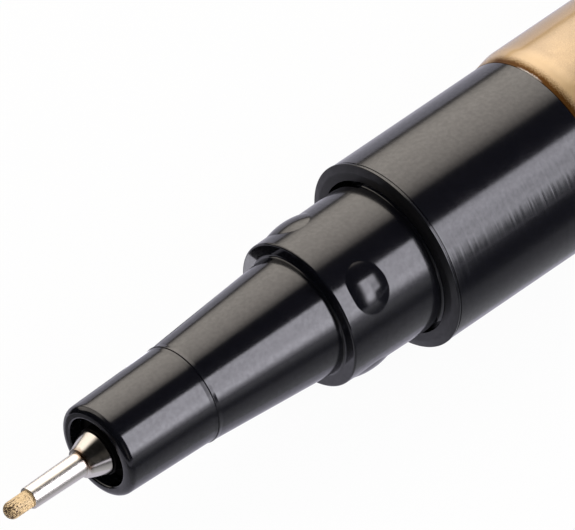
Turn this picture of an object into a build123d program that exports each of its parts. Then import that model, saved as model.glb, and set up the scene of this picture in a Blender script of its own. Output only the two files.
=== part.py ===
from build123d import *
import os
from math import cos, pi, sin, sqrt

# A valve-type paint marker with a fine metal-jacketed nib, uncapped, its cap posted on the tail.
# Sizes are in millimetres. Along the marker's axis, 0 is the front face of the collar and plus
# runs from the writing tip to the tail. At the end one placement lays every piece on z = 0.

# Clearances
FIT = 0.02  # radial gap of pressed and moulded seats
RUN = 0.12  # radial gap of pieces that slide
END_GAP = 0.1  # axial gap where a moving piece meets its stop

# Nib and metal tip
NIB_RADIUS = 0.52
NIB_REACH = 1.68  # nib that stands out of the tube
NIB_ROUND = 0.45
TUBE_FRONT_RADIUS = 0.66
TUBE_ROOT_RADIUS = 0.715
TUBE_LENGTH = 3.83
TUBE_EDGE = 0.06
CONE_FRONT_RADIUS = 0.9
CONE_RIM_RADIUS = 1.38
CONE_LENGTH = 1.16
RIM_WIDTH = 0.18
SHANK_RADIUS = 1.0
SHANK_LENGTH = 3.4

# Slider that carries the tip
BOSS_RADIUS = 1.45
BOSS_LENGTH = 0.85
STOP_RADIUS = 2.35
STOP_LENGTH = 1.0
PUSHER_RADIUS = 1.1
PUSHER_ENTRY = 0.5  # pusher inside the valve's front wall at rest
FEED_HOLE_RADIUS = 0.35
TIP_TRAVEL = 1.5

# Nose tip
MOUTH_RADIUS = 2.13
MOUTH_EDGE = 0.15
NOSE_FRONT_RADIUS = 2.835
NOSE_REAR_RADIUS = 2.99
NOSE_LENGTH = 6.43
NOSE_ROUND = 0.45
SEAM_RIM = 0.03  # height of the rim beside the parting line
SEAM_RIM_LENGTH = 0.25
SPIGOT_RADIUS = 2.58
SPIGOT_LENGTH = 3.2

# Nose section
TAPER_FRONT_RADIUS = 3.045
TAPER_REAR_RADIUS = 3.7
TAPER_LENGTH = 8.84
TAPER_ROOT_ROUND = 0.15
SNAP_FRONT_RADIUS = 4.525
SNAP_REAR_RADIUS = 4.62
SNAP_LENGTH = 6.52
SNAP_EDGE = 0.12
FLANGE_STEP = 0.18  # height of the root flange above the snap section
FLANGE_LENGTH = 1.4
ROOT_ROUND = 0.12
SECTION_RADIUS = 4.2
VALVE_LEAD = 2.0  # valve socket ahead of the collar's front face

# Snap bumps and notches of the nose section
BUMP_COUNT = 4
BUMP_ANGLE = 46.0  # about the axis, from straight up towards -Y
BUMP_HEIGHT = 0.22
BUMP_ACROSS_RADIUS = 2.85
BUMP_SETBACK = 0.95
BUMP_PEAK = 2.2
BUMP_END = 3.55
NOTCH_COUNT = 2
NOTCH_WIDTH = 4.3
NOTCH_DEPTH = 0.3
NOTCH_LENGTH = 1.2
NOTCH_LEAD = 0.3  # notch ahead of the flange

# Felt sleeve and valve
FELT_GAP = 0.2
VALVE_RADIUS = 3.55
VALVE_LENGTH = 15.0
VALVE_BORE = 2.7
VALVE_WALL = 1.2
VALVE_PORT_RADIUS = 1.4
SEAL_BORE = 1.5
SEAL_LENGTH = 1.0
STEM_NOSE_RADIUS = 0.9
STEM_TAIL_RADIUS = 0.8
STEM_TAIL_SHORT = 0.5  # stem end inside the cup's hole at rest
POPPET_RADIUS = 2.2
POPPET_LENGTH = 0.8
WIRE_RADIUS = 0.2
SPRING_RADIUS = 1.35
SPRING_TURNS = 7
CUP_LENGTH = 2.0
CUP_PORTS = 3
CUP_PORT_RADIUS = 0.38
CUP_PORT_CIRCLE = 2.05

# Collar
COLLAR_RADIUS = 5.75
COLLAR_LENGTH = 11.61  # the stretch that shows
COLLAR_BEVEL_LENGTH = 0.13
COLLAR_BEVEL_WIDTH = 0.42
COLLAR_BEVEL_ROUND = 0.6
COLLAR_EDGE = 0.05
BEAD_HEIGHT = 0.04
BEAD_LENGTH = 0.14
GROOVE_DEPTH = 0.04
GROOVE_LENGTH = 0.1
PLUG_LENGTH = 6.5  # the stretch inside the barrel

# Barrel
BARREL_RADIUS = 6.0
BARREL_WALL = 0.35
BARREL_LENGTH = 81.5
LIP_RADIUS = 5.78
LIP_LENGTH = 0.1
LIP_EDGE = 0.05
SHOULDER_LENGTH = 1.0
SHOULDER_ROUND = 2.0
BARREL_TURN = 3.0  # about its own axis, so that a facet of its 60-sided mesh lies flat below
RING_RADIUS = 0.4  # section of both O-rings
RING_ROOM = 0.1

# Mixing ball
BALL_RADIUS = 2.75
BALL_AT = 20.0  # ball centre behind the collar's rear end

# Tail plug
TAIL_DEPTH = 7.0
TAIL_FLANGE_RADIUS = 5.9
TAIL_FLANGE_LENGTH = 1.5
TAIL_EDGE = 0.35
TAIL_BORE = 3.4
TAIL_END_WALL = 1.2
POST_RADIUS = 4.55
POST_LENGTH = 6.7
POST_EDGE = 0.4

# Cap
CAP_RADIUS = 5.73
CAP_END_RADIUS = 5.5
CAP_LENGTH = 37.0
CAP_BORE = 4.9
CAP_END_WALL = 3.5
CAP_EDGE = 0.5
CAP_MOUTH_EDGE = 0.2
CAP_BEAD_AT = 2.9
CAP_BEAD_LENGTH = 0.9
DISC_RADIUS = 4.3
DISC_LENGTH = 1.0
DISC_EDGE = 0.3
INNER_AT = 12.0  # inner cap's lip behind the mouth
INNER_BORE = 3.35
INNER_WALL = 0.6
INNER_FLANGE = 2.0
CLIP_ANGLE = 135.0  # about the axis, from straight up towards -Y
CLIP_WIDTH = 3.0
CLIP_THICKNESS = 0.9
CLIP_ROUND = 0.5
CLIP_HEEL_ROUND = 0.8
CLIP_ROOT_LENGTH = 2.3
CLIP_ROOT_DEPTH = 0.7
CLIP_ROOT_INSET = 0.6
CLIP_FREE_AT = 7.0  # free end behind the mouth
CLIP_NUB_LENGTH = 2.4
CLIP_FLOOR_GAP = 0.01

# Places along the axis
snap_front = -SNAP_LENGTH
parting = snap_front - TAPER_LENGTH
nose_front = parting - NOSE_LENGTH
rim_front = nose_front
cone_front = rim_front - CONE_LENGTH
tube_front = cone_front - TUBE_LENGTH
nib_front = tube_front - NIB_REACH
spigot_end = parting + SPIGOT_LENGTH
stop_front = spigot_end + END_GAP
stop_rear = stop_front + STOP_LENGTH
felt_front = stop_rear + TIP_TRAVEL + FELT_GAP
valve_front = -VALVE_LEAD
valve_rear = valve_front + VALVE_LENGTH
pusher_end = valve_front + PUSHER_ENTRY
seal_front = valve_front + VALVE_WALL
seal_rear = seal_front + SEAL_LENGTH
stem_front = pusher_end + END_GAP
poppet_cone_front = seal_rear + RUN - (SEAL_BORE - STEM_NOSE_RADIUS)
poppet_front = poppet_cone_front + POPPET_RADIUS - STEM_NOSE_RADIUS
poppet_rear = poppet_front + POPPET_LENGTH
cup_front = valve_rear - CUP_LENGTH
barrel_front = COLLAR_LENGTH
lip_rear = barrel_front + LIP_LENGTH
shoulder_rear = lip_rear + SHOULDER_LENGTH
collar_rear = COLLAR_LENGTH + PLUG_LENGTH
barrel_rear = barrel_front + BARREL_LENGTH
post_front = barrel_rear + TAIL_FLANGE_LENGTH
post_rear = post_front + POST_LENGTH
cap_mouth = post_front + END_GAP
cap_rear = cap_mouth + CAP_LENGTH
cap_floor = cap_rear - CAP_END_WALL

# Radii that follow from a seat
barrel_bore = BARREL_RADIUS - BARREL_WALL
lip_bore = LIP_RADIUS - BARREL_WALL
section_bore = SPIGOT_RADIUS + FIT
flange_radius = SNAP_REAR_RADIUS + FLANGE_STEP
nib_bore = NIB_RADIUS + FIT
ring_centre = barrel_bore - FIT - RING_RADIUS
clip_top = (BARREL_RADIUS - CLIP_ROUND) * sqrt(2) + 2 * CLIP_ROUND - CLIP_WIDTH / 2 - CLIP_FLOOR_GAP


def outline(*corners):
    """Closed face from corners (place along the axis, radius, optional rounding)."""
    face = make_face(Polyline(*[corner[:2] for corner in corners], close=True))
    for corner in corners:
        if len(corner) == 3:
            vertex = face.vertices().sort_by_distance((corner[0], corner[1], 0))[0]
            face = fillet(vertex, corner[2])
    return face


def turned(*corners):
    """Solid turned about the marker's axis from the corners of its half section."""
    return revolve(outline(*corners), Axis.X)


def rod(radius, front, rear):
    """Plain round rod, also used as the tool for bores."""
    return turned((front, 0), (front, radius), (rear, radius), (rear, 0))


def around(count, start, piece):
    """Copies of a piece that stands at the top, spread evenly about the axis."""
    return [Rot(X=start + 360 / count * index) * piece for index in range(count)]


def ring_groove(place):
    """Tool for the groove of an O-ring against the barrel's bore."""
    half = RING_RADIUS + RING_ROOM / 2
    floor = ring_centre - RING_RADIUS - FIT
    return turned(
        (place - half, floor), (place - half, BARREL_RADIUS), (place + half, BARREL_RADIUS), (place + half, floor)
    )


def o_ring(place):
    """O-ring that fills its groove up to the barrel's bore."""
    return Pos(place, 0, 0) * Rot(Y=90) * Torus(ring_centre, RING_RADIUS)


def nib():
    """Fibre rod with a bullet tip, held in the tube and the slider."""
    return turned((nib_front, 0), (nib_front, NIB_RADIUS, NIB_ROUND), (stop_front, NIB_RADIUS), (stop_front, 0))


def metal_tip():
    """Drawn tube with a cone, a rim and a shank that is pressed into the slider."""
    rim_rear = rim_front + RIM_WIDTH
    shank_rear = rim_rear + SHANK_LENGTH
    return turned(
        (tube_front, nib_bore),
        (tube_front, TUBE_FRONT_RADIUS, TUBE_EDGE),
        (cone_front, TUBE_ROOT_RADIUS),
        (cone_front, CONE_FRONT_RADIUS, TUBE_EDGE),
        (rim_front, CONE_RIM_RADIUS),
        (rim_rear, CONE_RIM_RADIUS),
        (rim_rear, SHANK_RADIUS),
        (shank_rear, SHANK_RADIUS),
        (shank_rear, nib_bore),
    )


def nib_holder():
    """Slider with the socket of the shank, a stop flange and a hollow pusher."""
    front = rim_front + RIM_WIDTH
    slider_radius = MOUTH_RADIUS - RUN
    body = turned(
        (front, nib_bore),
        (front, BOSS_RADIUS),
        (front + BOSS_LENGTH, BOSS_RADIUS),
        (front + BOSS_LENGTH, slider_radius),
        (stop_front, slider_radius),
        (stop_front, STOP_RADIUS),
        (stop_rear, STOP_RADIUS),
        (stop_rear, PUSHER_RADIUS),
        (pusher_end, PUSHER_RADIUS),
        (pusher_end, nib_bore),
    )
    socket = rod(SHANK_RADIUS + FIT, front, front + SHANK_LENGTH)
    feed_hole = Pos((stop_rear + pusher_end) / 2, 0, 0) * Cylinder(FEED_HOLE_RADIUS, 4 * PUSHER_RADIUS)
    return body - socket - feed_hole


def nose_tip():
    """Front moulding: mouth, rounded lip, parting rim and the spigot behind it."""
    return turned(
        (nose_front, MOUTH_RADIUS, MOUTH_EDGE),
        (nose_front, NOSE_FRONT_RADIUS, NOSE_ROUND),
        (parting - SEAM_RIM_LENGTH, NOSE_REAR_RADIUS),
        (parting, NOSE_REAR_RADIUS + SEAM_RIM),
        (parting, SPIGOT_RADIUS),
        (spigot_end, SPIGOT_RADIUS),
        (spigot_end, MOUTH_RADIUS),
    )


def snap_bump():
    """D-shaped snap bump at the top: straight edge to the tip, round to the tail."""
    surface = SNAP_FRONT_RADIUS
    peak = BUMP_ACROSS_RADIUS
    foot = peak - BUMP_HEIGHT
    rise = BUMP_END - BUMP_PEAK
    arc_radius = (rise**2 + BUMP_HEIGHT**2) / (2 * BUMP_HEIGHT)
    front_height = peak - arc_radius + sqrt(arc_radius**2 - (BUMP_PEAK - BUMP_SETBACK) ** 2)
    front = (BUMP_SETBACK, front_height)
    rear = (BUMP_END, foot)
    crown = ThreePointArc(front, (BUMP_PEAK, peak), rear)
    sides = Polyline(rear, (BUMP_END, 0), (BUMP_SETBACK, 0), front)
    bump = revolve(make_face([crown, sides]), Axis.X)
    return Pos(snap_front, 0, surface - foot) * bump


def notch():
    """Tool for the shallow flat notch at the root of the snap section, at the top."""
    depth = FLANGE_STEP + NOTCH_DEPTH
    middle = Pos(NOTCH_LENGTH / 2 - NOTCH_LEAD, 0, flange_radius - depth / 2)
    return middle * Box(NOTCH_LENGTH, NOTCH_WIDTH, depth)


def nose_section():
    """Middle moulding: taper, snap section with bumps, flange and the valve's socket."""
    valve_socket = VALVE_RADIUS + FIT
    body = turned(
        (parting, section_bore),
        (parting, TAPER_FRONT_RADIUS + SEAM_RIM / 2),
        (parting + SEAM_RIM_LENGTH, TAPER_FRONT_RADIUS),
        (snap_front, TAPER_REAR_RADIUS, TAPER_ROOT_ROUND),
        (snap_front, SNAP_FRONT_RADIUS, SNAP_EDGE),
        (0, SNAP_REAR_RADIUS, ROOT_ROUND),
        (0, flange_radius),
        (FLANGE_LENGTH, flange_radius),
        (FLANGE_LENGTH, SECTION_RADIUS),
        (valve_rear, SECTION_RADIUS),
        (valve_rear, valve_socket),
        (valve_front, valve_socket),
        (valve_front, section_bore),
    )
    bumps = around(BUMP_COUNT, BUMP_ANGLE, snap_bump())
    hollow = rod(section_bore, snap_front, valve_front)
    notches = around(NOTCH_COUNT, BUMP_ANGLE + 360 / BUMP_COUNT, notch())
    return body + bumps - hollow - notches


def felt_sleeve():
    """Felt ring that stores a little paint round the pusher."""
    bore = PUSHER_RADIUS + RUN
    outer = section_bore - FIT
    return turned((felt_front, bore), (felt_front, outer), (valve_front, outer), (valve_front, bore))


def valve_body():
    """Cup with the paint port in its front wall."""
    return turned(
        (valve_front, VALVE_PORT_RADIUS),
        (valve_front, VALVE_RADIUS),
        (valve_rear, VALVE_RADIUS),
        (valve_rear, VALVE_BORE),
        (seal_front, VALVE_BORE),
        (seal_front, VALVE_PORT_RADIUS),
    )


def valve_seal():
    """Rubber seat ring against the front wall of the valve body."""
    outer = VALVE_BORE - FIT
    return turned((seal_front, SEAL_BORE), (seal_front, outer), (seal_rear, outer), (seal_rear, SEAL_BORE))


def valve_stem():
    """Poppet with a nose that the pusher meets and a tail that the cup guides."""
    stem_rear = valve_rear - STEM_TAIL_SHORT
    return turned(
        (stem_front, 0),
        (stem_front, STEM_NOSE_RADIUS),
        (poppet_cone_front, STEM_NOSE_RADIUS),
        (poppet_front, POPPET_RADIUS),
        (poppet_rear, POPPET_RADIUS),
        (poppet_rear, STEM_TAIL_RADIUS),
        (stem_rear, STEM_TAIL_RADIUS),
        (stem_rear, 0),
    )


def biarc(start, start_way, end, end_way):
    """Two arcs that leave start along start_way, meet smoothly and reach end along end_way."""
    chord = end - start
    ways = start_way + end_way
    square = 4 - ways.dot(ways)
    across = chord.dot(ways)
    reach = (sqrt(across**2 + square * chord.dot(chord)) - across) / square
    first = start + start_way * reach
    last = end - end_way * reach
    middle = (first + last) * 0.5
    return [TangentArc(start, middle, tangent=start_way), TangentArc(middle, end, tangent=last - first)]


def valve_spring():
    """Wire coil between the poppet and the cup, swept along quarter turns."""
    coil_front = poppet_rear + WIRE_RADIUS + END_GAP
    coil_rear = cup_front - WIRE_RADIUS - END_GAP
    pitch = (coil_rear - coil_front) / SPRING_TURNS
    steps = 4 * SPRING_TURNS
    points = []
    ways = []
    for step in range(steps + 1):
        turn = pi / 2 * step
        points.append(Vector(coil_front + pitch * step / 4, SPRING_RADIUS * cos(turn), SPRING_RADIUS * sin(turn)))
        way = Vector(pitch / (2 * pi), -SPRING_RADIUS * sin(turn), SPRING_RADIUS * cos(turn))
        ways.append(way.normalized())
    edges = []
    for step in range(steps):
        edges += biarc(points[step], ways[step], points[step + 1], ways[step + 1])
    path = Wire(edges)
    gap = min((points[step + 4] - points[step]).length for step in range(steps - 3)) - 2 * WIRE_RADIUS
    print(f"valve spring: least gap between turns {gap:.2f} mm, wire length {path.length:.1f} mm")
    return sweep(Plane(origin=points[0], z_dir=ways[0]) * Circle(WIRE_RADIUS), path)


def spring_cup():
    """Pierced disc that closes the valve body behind the spring."""
    disc = rod(VALVE_BORE - FIT, cup_front, valve_rear)
    guide = rod(STEM_TAIL_RADIUS + RUN, cup_front, valve_rear)
    port = Pos(0, 0, CUP_PORT_CIRCLE) * rod(CUP_PORT_RADIUS, cup_front, valve_rear)
    return disc - guide - around(CUP_PORTS, 0, port)


def collar():
    """Sleeve between the nose section and the barrel, with a bevel and a bead on its front edge."""
    flange_socket = flange_radius + FIT
    bore = SECTION_RADIUS + FIT
    bead_end = COLLAR_BEVEL_LENGTH + BEAD_LENGTH
    groove_end = bead_end + GROOVE_LENGTH
    sleeve = turned(
        (0, flange_socket),
        (0, COLLAR_RADIUS - COLLAR_BEVEL_WIDTH, COLLAR_BEVEL_ROUND),
        (COLLAR_BEVEL_LENGTH, COLLAR_RADIUS + BEAD_HEIGHT, COLLAR_EDGE),
        (bead_end, COLLAR_RADIUS + BEAD_HEIGHT),
        (bead_end, COLLAR_RADIUS - GROOVE_DEPTH),
        (groove_end, COLLAR_RADIUS - GROOVE_DEPTH),
        (groove_end, COLLAR_RADIUS),
        (barrel_front, COLLAR_RADIUS),
        (barrel_front, lip_bore - FIT),
        (lip_rear, lip_bore - FIT),
        (shoulder_rear, barrel_bore - FIT),
        (collar_rear, barrel_bore - FIT),
        (collar_rear, bore),
        (FLANGE_LENGTH, bore),
        (FLANGE_LENGTH, flange_socket),
    )
    return sleeve - ring_groove((shoulder_rear + collar_rear) / 2)


def barrel_gasket():
    """O-ring of the collar."""
    return o_ring((shoulder_rear + collar_rear) / 2)


def barrel():
    """Drawn aluminium tube, necked in at the front over the collar's waist."""
    tube = turned(
        (barrel_front, lip_bore),
        (barrel_front, LIP_RADIUS, LIP_EDGE),
        (lip_rear, LIP_RADIUS),
        (shoulder_rear, BARREL_RADIUS, SHOULDER_ROUND),
        (barrel_rear, BARREL_RADIUS),
        (barrel_rear, barrel_bore),
        (shoulder_rear, barrel_bore),
        (lip_rear, lip_bore),
    )
    return Rot(X=BARREL_TURN) * tube


def mixing_ball():
    """Steel ball that lies on the bottom of the barrel's bore."""
    return Pos(collar_rear + BALL_AT, 0, BALL_RADIUS + RUN - barrel_bore) * Sphere(BALL_RADIUS)


def tail_plug():
    """End plug with a flange nearly as wide as the barrel and a hollow post for the cap."""
    front = barrel_rear - TAIL_DEPTH
    skirt = barrel_bore - FIT
    plug = turned(
        (front, TAIL_BORE),
        (front, skirt),
        (barrel_rear, skirt),
        (barrel_rear, TAIL_FLANGE_RADIUS),
        (post_front, TAIL_FLANGE_RADIUS, TAIL_EDGE),
        (post_front, POST_RADIUS),
        (post_rear, POST_RADIUS, POST_EDGE),
        (post_rear, 0),
        (post_rear - TAIL_END_WALL, 0),
        (post_rear - TAIL_END_WALL, TAIL_BORE),
    )
    return plug - ring_groove(barrel_rear - TAIL_DEPTH / 2)


def tail_seal():
    """O-ring of the tail plug."""
    return o_ring(barrel_rear - TAIL_DEPTH / 2)


def clip_root_places():
    """Front and rear ends of the clip's root along the axis."""
    rear = cap_rear - CLIP_ROOT_INSET
    return rear - CLIP_ROOT_LENGTH, rear


def cap_shell():
    """Cap with a snap bead in its mouth, a recess for the disc and a pocket for the clip."""
    bead = POST_RADIUS + RUN
    bead_place = cap_mouth + CAP_BEAD_AT
    half = CAP_BEAD_LENGTH / 2
    shell = turned(
        (cap_mouth, CAP_BORE),
        (cap_mouth, CAP_RADIUS, CAP_MOUTH_EDGE),
        (cap_rear, CAP_END_RADIUS, CAP_EDGE),
        (cap_rear, DISC_RADIUS + FIT),
        (cap_rear - DISC_LENGTH, DISC_RADIUS + FIT),
        (cap_rear - DISC_LENGTH, 0),
        (cap_floor, 0),
        (cap_floor, CAP_BORE),
        (bead_place + half, CAP_BORE),
        (bead_place, bead),
        (bead_place - half, CAP_BORE),
    )
    front, rear = clip_root_places()
    floor = CAP_END_RADIUS - CLIP_ROOT_DEPTH
    height = CAP_RADIUS - floor
    pocket = Box(rear - front + 2 * FIT, CLIP_WIDTH + 2 * FIT, height)
    return shell - Rot(X=CLIP_ANGLE) * Pos((front + rear) / 2, 0, floor + height / 2) * pocket


def cap_clip():
    """Pocket clip: a root set in the cap, a bar and a nub at its free end."""
    front, rear = clip_root_places()
    floor = CAP_END_RADIUS - CLIP_ROOT_DEPTH
    under = clip_top - CLIP_THICKNESS
    free = cap_mouth + CLIP_FREE_AT
    side = outline(
        (rear, floor),
        (rear, clip_top, CLIP_HEEL_ROUND),
        (free, clip_top),
        (free, under),
        (free + CLIP_NUB_LENGTH / 2, CAP_RADIUS + END_GAP),
        (free + CLIP_NUB_LENGTH, under),
        (front, under),
        (front, floor),
    )
    clip = Rot(X=90) * extrude(side, CLIP_WIDTH / 2, both=True)
    top_edges = clip.edges().filter_by(Axis.X).group_by(Axis.Z)[-1]
    return Rot(X=CLIP_ANGLE) * fillet(top_edges, CLIP_ROUND)


def cap_inner_seal():
    """Inner cap that closes round the taper when the cap is on the nose."""
    lip = cap_mouth + INNER_AT
    flange_front = cap_floor - INNER_FLANGE
    flange = CAP_BORE - FIT
    return turned(
        (lip, INNER_BORE),
        (lip, INNER_BORE + INNER_WALL),
        (flange_front, INNER_BORE + INNER_WALL),
        (flange_front, flange),
        (cap_floor, flange),
        (cap_floor, 0),
        (flange_front, 0),
        (flange_front, INNER_BORE),
    )


def cap_top_disc():
    """Colour disc that fills the recess in the closed end of the cap."""
    front = cap_rear - DISC_LENGTH
    return turned((front, 0), (front, DISC_RADIUS), (cap_rear, DISC_RADIUS, DISC_EDGE), (cap_rear, 0))


pieces = [
    nib,
    metal_tip,
    nib_holder,
    nose_tip,
    nose_section,
    felt_sleeve,
    valve_body,
    valve_seal,
    valve_stem,
    valve_spring,
    spring_cup,
    collar,
    barrel_gasket,
    barrel,
    mixing_ball,
    tail_plug,
    tail_seal,
    cap_shell,
    cap_clip,
    cap_inner_seal,
    cap_top_disc,
]
place = Pos(-(nib_front + cap_rear) / 2, 0, BARREL_RADIUS)
os.makedirs("parts", exist_ok=True)
for piece in pieces:
    export_step(place * piece(), f"parts/{piece.__name__}.step")
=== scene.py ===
from math import atan2, cos, pi, radians, sin, sqrt, tan

import bpy
from mathutils import Matrix, Vector


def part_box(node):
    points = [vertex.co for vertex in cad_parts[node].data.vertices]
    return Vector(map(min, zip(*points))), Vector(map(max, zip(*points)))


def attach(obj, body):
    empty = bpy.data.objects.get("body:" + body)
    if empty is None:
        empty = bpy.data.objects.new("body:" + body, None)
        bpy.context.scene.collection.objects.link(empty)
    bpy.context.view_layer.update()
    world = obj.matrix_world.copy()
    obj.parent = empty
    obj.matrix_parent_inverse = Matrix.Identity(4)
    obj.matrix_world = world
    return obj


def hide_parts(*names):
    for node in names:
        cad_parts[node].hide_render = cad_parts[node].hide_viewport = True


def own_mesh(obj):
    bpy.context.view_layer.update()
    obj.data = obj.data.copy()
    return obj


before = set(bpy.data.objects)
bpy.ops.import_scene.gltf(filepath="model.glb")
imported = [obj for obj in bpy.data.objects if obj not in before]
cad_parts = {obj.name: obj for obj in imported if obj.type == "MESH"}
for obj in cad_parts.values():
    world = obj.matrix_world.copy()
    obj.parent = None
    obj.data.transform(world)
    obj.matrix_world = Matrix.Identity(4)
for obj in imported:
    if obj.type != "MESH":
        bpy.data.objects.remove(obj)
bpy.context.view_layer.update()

# Barrel: a drawn aluminium tube with a thin wall, lacquered in metallic gold. Its front end is
# necked in over the waist of the collar. A painted shade darkens the lacquer to brown along the edge
# there, weaker towards the far side, and raw metal glints where it has chipped. Behind the edge a
# painted highlight makes the lacquer paler on the shoulder.
MM = 0.001
TURN_STEPS = 256  # faces round a turned piece
ARC_STEPS = 8  # faces along a rounded edge
SUPPORT = 0.02 * MM  # rings beside a rounded edge, which keep the flat stretch flat
MERGE_DISTANCE = MM / 1000  # points closer than this become one
SMOOTH_ANGLE = radians(32)  # edges sharper than this stay sharp
barrel_low, barrel_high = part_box("barrel")
AXIS_Z = (barrel_low.z + barrel_high.z) / 2
BARREL_RADIUS = (barrel_high.z - barrel_low.z) / 2
BARREL_WALL = 0.35 * MM
LIP_RADIUS = 5.78 * MM
LIP_LENGTH = 0.1 * MM
LIP_EDGE = 0.05 * MM
LIP_ROUND = 0.25 * MM
SHOULDER_LENGTH = 1.0 * MM
SHOULDER_ROUND = 2.0 * MM
FIT = 0.02 * MM
GOLD = (0.525, 0.374, 0.199, 1)
GOLD_DEEP = (0.418, 0.29, 0.146, 1)
GOLD_HIGHLIGHT = (0.61, 0.437, 0.233, 1)
# colour of the painted shade along the neck's front edge
PAINTED_SHADE_GOLD = (0.1, 0.043, 0.01, 1)
RAW_ALUMINIUM = (0.56, 0.53, 0.5, 1)
EDGE_RAGGED = 0.11 * MM  # how far the edge of the painted shade wanders
EDGE_SHADE = (0.24 * MM, 0.66 * MM)  # distance from the edge where the painted shade starts to fade, and its end
EDGE_SHADE_SIDE = (3.4 * MM, 4.3 * MM)  # the same, for where the painted shade weakens towards the far side of the barrel
SHOULDER_HIGHLIGHT = (0.85 * MM, 1.7 * MM)  # the same, for the painted highlight that makes the shoulder paler
CHIP_MIDDLE = 0.7 * MM
CHIP_HALF = (0.55 * MM, 1.05 * MM)
CHIP_DEPTH = (0.05 * MM, 0.11 * MM)


def half_section(corners):
    """Points of a half section from corners (place along the axis, radius, optional rounding)."""
    points = []
    count = len(corners)
    for index, corner in enumerate(corners):
        here = Vector(corner[:2])
        if len(corner) == 2:
            points.append(here)
            continue
        to_last = (Vector(corners[index - 1][:2]) - here).normalized()
        to_next = (Vector(corners[(index + 1) % count][:2]) - here).normalized()
        half_angle = to_last.angle(to_next) / 2
        reach = corner[2] / tan(half_angle)
        centre = here + (to_last + to_next).normalized() * corner[2] / sin(half_angle)
        first = here + to_last * reach - centre
        last = here + to_next * reach - centre
        sweep = first.angle_signed(last)
        points.append(here + to_last * (reach + SUPPORT))
        for step in range(ARC_STEPS + 1):
            points.append(centre + Matrix.Rotation(-sweep * step / ARC_STEPS, 2) @ first)
        points.append(here + to_next * (reach + SUPPORT))
    return points


def drawn_outline(name, route, closed):
    """One vertex extruded from point to point; the new object stays in edit mode."""
    bpy.ops.object.select_all(action="DESELECT")
    bpy.ops.mesh.primitive_plane_add(size=MM)
    piece = bpy.context.object
    piece.name = name
    bpy.ops.object.mode_set(mode="EDIT")
    bpy.ops.mesh.select_all(action="SELECT")
    bpy.ops.mesh.merge(type="CENTER")
    bpy.ops.transform.translate(value=route[0])
    for start, end in zip(route, route[1:] + route[:1] if closed else route[1:]):
        bpy.ops.mesh.extrude_region_move(TRANSFORM_OT_translate={"value": end - start})
    bpy.ops.mesh.select_all(action="SELECT")
    bpy.ops.mesh.remove_doubles(threshold=MERGE_DISTANCE)
    return piece


def finish_mesh():
    """Merged, with its faces outwards and its round faces smooth; leaves edit mode."""
    bpy.ops.mesh.select_all(action="SELECT")
    bpy.ops.mesh.remove_doubles(threshold=MERGE_DISTANCE)
    bpy.ops.mesh.normals_make_consistent(inside=False)
    bpy.ops.object.mode_set(mode="OBJECT")
    bpy.ops.object.shade_smooth_by_angle(angle=SMOOTH_ANGLE)


def turned_piece(name, points, steps=TURN_STEPS):
    """Piece spun about the axis from the points of its half section."""
    route = [Vector((point.x, 0, AXIS_Z + point.y)) for point in points]
    piece = drawn_outline(name, route, closed=points[0].y > 0 or points[-1].y > 0)
    bpy.ops.mesh.spin(steps=steps, angle=2 * pi, center=(0, 0, AXIS_Z), axis=(1, 0, 0))
    finish_mesh()
    return piece


class NodeBench:
    """The nodes of one material or effect, with short ways to add and join them."""

    def __init__(self, tree):
        self.nodes = tree.nodes
        self.links = tree.links

    def add(self, kind, **settings):
        node = self.nodes.new(kind)
        for name, value in settings.items():
            setattr(node, name, value)
        return node

    def feed(self, socket, value):
        """A socket takes a fixed value, or a link from another node."""
        if isinstance(value, bpy.types.NodeSocket):
            self.links.new(value, socket)
        else:
            socket.default_value = value

    def math(self, operation, first, second=0.0):
        node = self.add("ShaderNodeMath", operation=operation)
        self.feed(node.inputs[0], first)
        self.feed(node.inputs[1], second)
        return node.outputs[0]

    def noise(self, place, scale, stretch=(1, 1, 1), detail=3.0):
        """Noise with so many features a metre, with each axis scaled by its stretch."""
        mapping = self.add("ShaderNodeMapping")
        mapping.inputs["Scale"].default_value = stretch
        self.feed(mapping.inputs["Vector"], place)
        texture = self.add("ShaderNodeTexNoise")
        texture.inputs["Detail"].default_value = detail
        self.feed(texture.inputs["Scale"], scale)
        self.feed(texture.inputs["Vector"], mapping.outputs["Vector"])
        return texture.outputs["Fac"]

    def span(self, value, low, high, to_low, to_high):
        """A value carried from one range to another and held at its ends."""
        node = self.add("ShaderNodeMapRange")
        names = ("Value", "From Min", "From Max", "To Min", "To Max")
        for name, number in zip(names, (value, low, high, to_low, to_high)):
            self.feed(node.inputs[name], number)
        return node.outputs["Result"]

    def blend(self, share, first, second):
        """Two colours mixed by a mask."""
        node = self.add("ShaderNodeMix", data_type="RGBA")
        factor, first_colour, second_colour = node.inputs[0], node.inputs[6], node.inputs[7]
        self.feed(factor, share)
        self.feed(first_colour, first)
        self.feed(second_colour, second)
        return node.outputs[2]


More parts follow.
